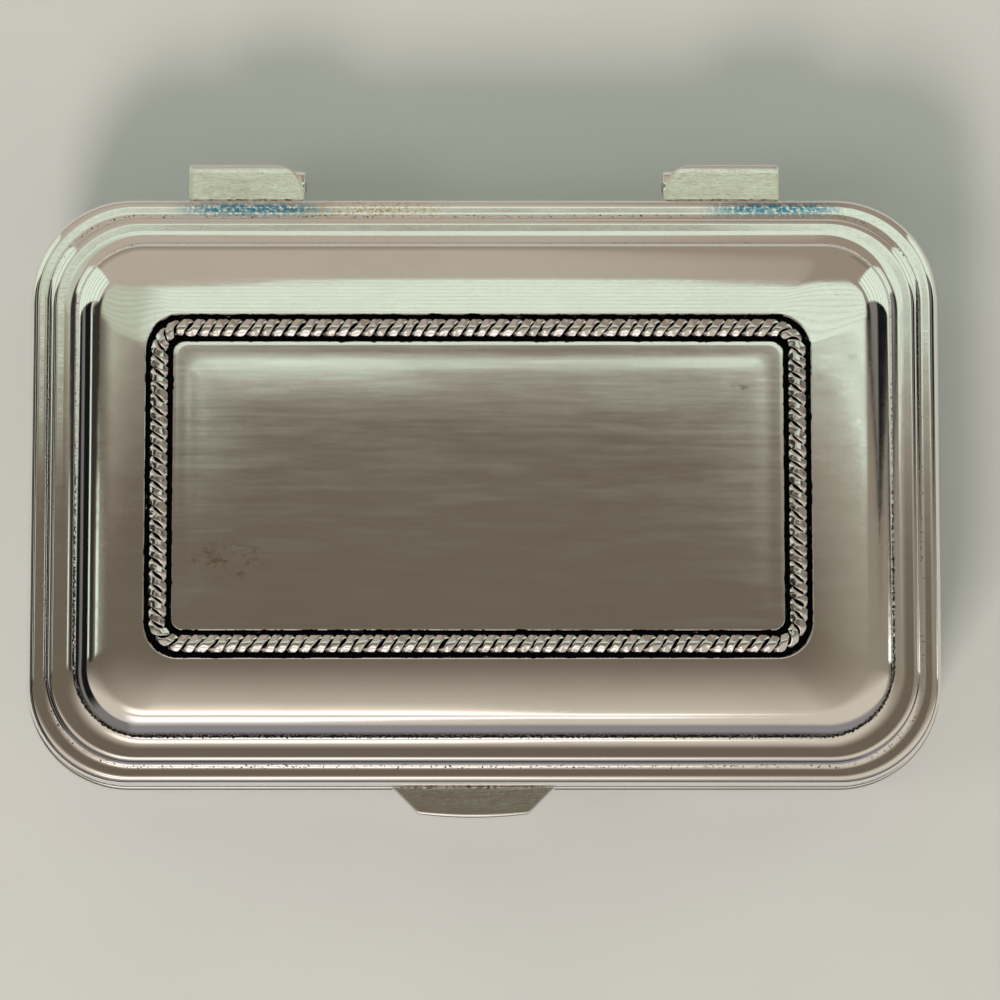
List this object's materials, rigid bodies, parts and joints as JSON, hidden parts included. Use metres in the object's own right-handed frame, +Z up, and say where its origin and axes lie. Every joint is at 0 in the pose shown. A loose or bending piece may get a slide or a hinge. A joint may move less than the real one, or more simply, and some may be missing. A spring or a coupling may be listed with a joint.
{
  "type": "trinket box",
  "caption": "Low rectangular trinket box of silver-plated sheet with rounded corners: stepped domed lid with a rope border, thumb tab, pinned lug hinges and velvet lining.",
  "frame": {"origin": "centre of the tray's flat underside", "axes": "+X along the length to the right, -Y to the front where the thumb tab is, +Z up through the lid"},
  "size_m": [0.0908, 0.0657, 0.021],
  "materials": {
    "silver_plate": "polished silver plate with fine scratches and light tarnish",
    "oxidised_silver": "bright silver strands with black oxide between them",
    "pin_steel": "drawn wire with peened ends",
    "velvet": "short-pile velvet"
  },
  "bodies": {
    "base": {"base_shell": "silver_plate", "locating_bezel": "silver_plate", "base_floor_pad": "velvet", "base_wall_lining": "velvet", "base_hinge_lug_left": "silver_plate", "base_hinge_lug_right": "silver_plate", "hinge_pin_left": "pin_steel", "hinge_pin_right": "pin_steel"},
    "lid": {"lid_shell": "silver_plate", "rope_border": "oxidised_silver", "thumb_tab": "silver_plate", "lid_lining": "velvet", "lid_hinge_lug_left": "silver_plate", "lid_hinge_lug_right": "silver_plate"}
  },
  "joints": [
    {"name": "lid_hinge", "type": "hinge", "parent": "base", "child": "lid", "pos_m": [0, 0.03145, 0.01245], "axis": [-1, 0, 0], "range_deg": [0, 100]}
  ]
}
